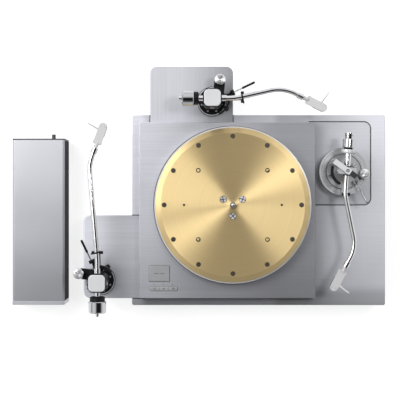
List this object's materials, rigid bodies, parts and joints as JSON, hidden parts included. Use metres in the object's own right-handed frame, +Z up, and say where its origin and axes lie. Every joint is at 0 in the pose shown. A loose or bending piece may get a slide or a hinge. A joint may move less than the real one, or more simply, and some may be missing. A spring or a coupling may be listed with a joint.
{
  "type": "turntable",
  "caption": "Direct-drive record deck with a brass-topped platter, long curved tonearms on side boards, and a separate control box.",
  "frame": {"origin": "on the table, under the middle of the whole part", "axes": "+X to the right as a user faces it, +Y to the back, +Z up"},
  "size_m": [0.783, 0.5166, 0.188],
  "materials": {
    "base_aluminium": "brushed satin",
    "panel_aluminium": "brushed satin",
    "board_aluminium": "brushed satin",
    "plate_aluminium": "brushed satin",
    "foot_aluminium": "satin",
    "foot_rubber": "matt",
    "chassis_paint": "matt",
    "circuit_board": "satin",
    "rotor_steel": "satin",
    "bearing_steel": "ground",
    "platter_aluminium": "turned",
    "platter_brass": "spun, fine rings",
    "weight_metal": "satin",
    "screw_chrome": "polished",
    "button_aluminium": "satin",
    "arm_satin": "satin",
    "arm_black": "satin black",
    "arm_chrome": "polished",
    "cap_pale": "satin",
    "shell_pale": "satin",
    "cartridge_black": "matt",
    "control_aluminium": "satin",
    "window_black": "gloss",
    "rear_paint": "satin"
  },
  "bodies": {
    "deck": {"plinth_base": "base_aluminium", "plinth_top_panel": "panel_aluminium", "plinth_feet": "foot_aluminium", "rubber_feet": "foot_rubber", "arm_boards": "board_aluminium", "motor_chassis": "chassis_paint", "motor_top_plate": "plate_aluminium", "motor_stator": "circuit_board", "bearing_sleeve": "bearing_steel", "key_board": "circuit_board", "right_arm_base": "arm_satin", "rear_arm_base": "arm_black", "left_arm_base": "arm_black", "control_case": "control_aluminium", "control_front_panel": "control_aluminium", "control_display_window": "window_black", "control_rear_panel": "rear_paint"},
    "platter": {"platter_body": "platter_aluminium", "platter_brass_top": "platter_brass", "platter_weights": "weight_metal", "platter_screws": "screw_chrome", "spindle": "bearing_steel", "motor_rotor": "rotor_steel"},
    "start_button": {"start_stop_button": "button_aluminium"},
    "button_33": {"speed_button_33": "button_aluminium"},
    "button_45": {"speed_button_45": "button_aluminium"},
    "button_78": {"speed_button_78": "button_aluminium"},
    "power_button": {"control_power_button": "button_aluminium"},
    "right_ring": {"right_arm_height_ring": "arm_satin"},
    "right_stage": {"right_arm_stage": "arm_satin"},
    "right_gimbal": {"right_arm_gimbal": "arm_satin"},
    "right_tube": {"right_arm_pipe": "arm_chrome", "right_arm_headshell": "shell_pale", "right_arm_cartridge": "cartridge_black"},
    "right_weight": {"right_arm_counterweight": "arm_chrome"},
    "right_dial": {"right_arm_force_dial": "arm_black"},
    "right_lever": {"right_arm_cue_lever": "arm_chrome"},
    "right_lift": {"right_arm_lift": "arm_black"},
    "right_knob": {"right_arm_antiskate_knob": "arm_chrome"},
    "rear_pillar": {"rear_arm_pillar": "arm_black"},
    "rear_yoke": {"rear_arm_yoke": "arm_black", "rear_arm_cap": "cap_pale"},
    "rear_tube": {"rear_arm_pipe": "arm_chrome", "rear_arm_headshell": "shell_pale", "rear_arm_cartridge": "cartridge_black"},
    "rear_weight": {"rear_arm_counterweight": "arm_chrome"},
    "rear_lever": {"rear_arm_cue_lever": "arm_chrome"},
    "rear_lift": {"rear_arm_lift": "arm_black"},
    "rear_knob": {"rear_arm_antiskate_knob": "arm_chrome"},
    "left_pillar": {"left_arm_pillar": "arm_black"},
    "left_yoke": {"left_arm_yoke": "arm_black", "left_arm_cap": "cap_pale"},
    "left_tube": {"left_arm_pipe": "arm_chrome", "left_arm_headshell": "shell_pale", "left_arm_cartridge": "cartridge_black"},
    "left_weight": {"left_arm_counterweight": "arm_chrome"},
    "left_lever": {"left_arm_cue_lever": "arm_chrome"},
    "left_lift": {"left_arm_lift": "arm_black"},
    "left_knob": {"left_arm_antiskate_knob": "arm_chrome"}
  },
  "joints": [
    {"name": "platter_spin", "type": "hinge", "parent": "deck", "child": "platter", "pos_m": [0.0705, -0.0316, 0.148], "axis": [0, 0, 1], "continuous": true},
    {"name": "start_button_press", "type": "slide", "parent": "deck", "child": "start_button", "axis": [0, 0, -1], "range_m": [0, 0.0015], "stiffness_N_per_m": 600, "springref_m": -0.0006},
    {"name": "button_33_press", "type": "slide", "parent": "deck", "child": "button_33", "axis": [0, 0, -1], "range_m": [0, 0.0015], "stiffness_N_per_m": 600, "springref_m": -0.0006},
    {"name": "button_45_press", "type": "slide", "parent": "deck", "child": "button_45", "axis": [0, 0, -1], "range_m": [0, 0.0015], "stiffness_N_per_m": 600, "springref_m": -0.0006},
    {"name": "button_78_press", "type": "slide", "parent": "deck", "child": "button_78", "axis": [0, 0, -1], "range_m": [0, 0.0015], "stiffness_N_per_m": 600, "springref_m": -0.0006},
    {"name": "power_press", "type": "slide", "parent": "deck", "child": "power_button", "axis": [0, 1, 0], "range_m": [0, 0.002], "stiffness_N_per_m": 500, "springref_m": -0.0006},
    {"name": "right_ring_turn", "type": "hinge", "parent": "deck", "child": "right_ring", "pos_m": [0.3005, 0.0374, 0.0993], "axis": [0, 0, 1], "range_deg": [0, 270]},
    {"name": "right_stage_rise", "type": "slide", "parent": "deck", "child": "right_stage", "axis": [0, 0, 1], "range_m": [0, 0.006]},
    {"name": "right_swing", "type": "hinge", "parent": "right_stage", "child": "right_gimbal", "pos_m": [0.3005, 0.0374, 0.17], "axis": [0, 0, -1], "range_deg": [0, 53.39]},
    {"name": "right_tilt", "type": "hinge", "parent": "right_gimbal", "child": "right_tube", "pos_m": [0.3005, 0.0374, 0.17], "axis": [-0.9976, 0.0698, 0], "range_deg": [-0.72, 12]},
    {"name": "right_weight_turn", "type": "hinge", "parent": "right_tube", "child": "right_weight", "pos_m": [0.3005, 0.0374, 0.17], "axis": [-0.0698, -0.9976, 0], "range_deg": [-180, 180]},
    {"name": "right_cue_lever_turn", "type": "hinge", "parent": "right_stage", "child": "right_lever", "pos_m": [0.3245, 0.0164, 0.13396], "axis": [-0.8988, -0.4384, 0], "range_deg": [0, 60]},
    {"name": "right_lift_drop", "type": "slide", "parent": "right_stage", "child": "right_lift", "axis": [0, 0, 1], "range_m": [-0.004, 0]},
    {"name": "right_antiskate_turn", "type": "hinge", "parent": "right_stage", "child": "right_knob", "pos_m": [0.3412, 0.0328, 0.1268], "axis": [0, 0, 1], "range_deg": [0, 270]},
    {"name": "right_dial_turn", "type": "hinge", "parent": "right_weight", "child": "right_dial", "pos_m": [0.3005, 0.0374, 0.17], "axis": [-0.0698, -0.9976, 0], "range_deg": [-180, 180]},
    {"name": "rear_pillar_rise", "type": "slide", "parent": "deck", "child": "rear_pillar", "axis": [0, 0, 1], "range_m": [0, 0.008]},
    {"name": "rear_swing", "type": "hinge", "parent": "rear_pillar", "child": "rear_yoke", "pos_m": [0.0282, 0.1845, 0.17], "axis": [0, 0, -1], "range_deg": [0, 59.51]},
    {"name": "rear_tilt", "type": "hinge", "parent": "rear_yoke", "child": "rear_tube", "pos_m": [0.0282, 0.1845, 0.17], "axis": [0, -1, 0], "range_deg": [-0.76, 12]},
    {"name": "rear_weight_turn", "type": "hinge", "parent": "rear_tube", "child": "rear_weight", "pos_m": [0.0282, 0.1845, 0.17], "axis": [1, 0, 0], "range_deg": [-180, 180]},
    {"name": "rear_cue_lever_turn", "type": "hinge", "parent": "rear_pillar", "child": "rear_lever", "pos_m": [0.0702, 0.198, 0.14998], "axis": [0.4067, -0.9135, 0], "range_deg": [0, 60]},
    {"name": "rear_lift_drop", "type": "slide", "parent": "rear_pillar", "child": "rear_lift", "axis": [0, 0, 1], "range_m": [-0.004, 0]},
    {"name": "rear_antiskate_turn", "type": "hinge", "parent": "rear_pillar", "child": "rear_knob", "pos_m": [0.0442, 0.2255, 0.1283], "axis": [0, 0, 1], "range_deg": [0, 270]},
    {"name": "left_pillar_rise", "type": "slide", "parent": "deck", "child": "left_pillar", "axis": [0, 0, 1], "range_m": [0, 0.008]},
    {"name": "left_swing", "type": "hinge", "parent": "left_pillar", "child": "left_yoke", "pos_m": [-0.2047, -0.1893, 0.17], "axis": [0, 0, -1], "range_deg": [0, 47.75]},
    {"name": "left_tilt", "type": "hinge", "parent": "left_yoke", "child": "left_tube", "pos_m": [-0.2047, -0.1893, 0.17], "axis": [1, 0, 0], "range_deg": [-0.54, 12]},
    {"name": "left_weight_turn", "type": "hinge", "parent": "left_tube", "child": "left_weight", "pos_m": [-0.2047, -0.1893, 0.17], "axis": [0, 1, 0], "range_deg": [-180, 180]},
    {"name": "left_cue_lever_turn", "type": "hinge", "parent": "left_pillar", "child": "left_lever", "pos_m": [-0.2182, -0.1473, 0.14998], "axis": [0.9135, 0.4067, 0], "range_deg": [0, 60]},
    {"name": "left_lift_drop", "type": "slide", "parent": "left_pillar", "child": "left_lift", "axis": [0, 0, 1], "range_m": [-0.004, 0]},
    {"name": "left_antiskate_turn", "type": "hinge", "parent": "left_pillar", "child": "left_knob", "pos_m": [-0.2457, -0.1733, 0.1283], "axis": [0, 0, 1], "range_deg": [0, 270]}
  ],
  "couplings": [
    {"joint": "right_stage_rise", "follows": "right_ring_turn", "m_per_rad": 0.0012732},
    {"joint": "right_lift_drop", "follows": "right_cue_lever_turn", "m_per_rad": -0.0038197},
    {"joint": "rear_lift_drop", "follows": "rear_cue_lever_turn", "m_per_rad": -0.0038197},
    {"joint": "left_lift_drop", "follows": "left_cue_lever_turn", "m_per_rad": -0.0038197}
  ]
}
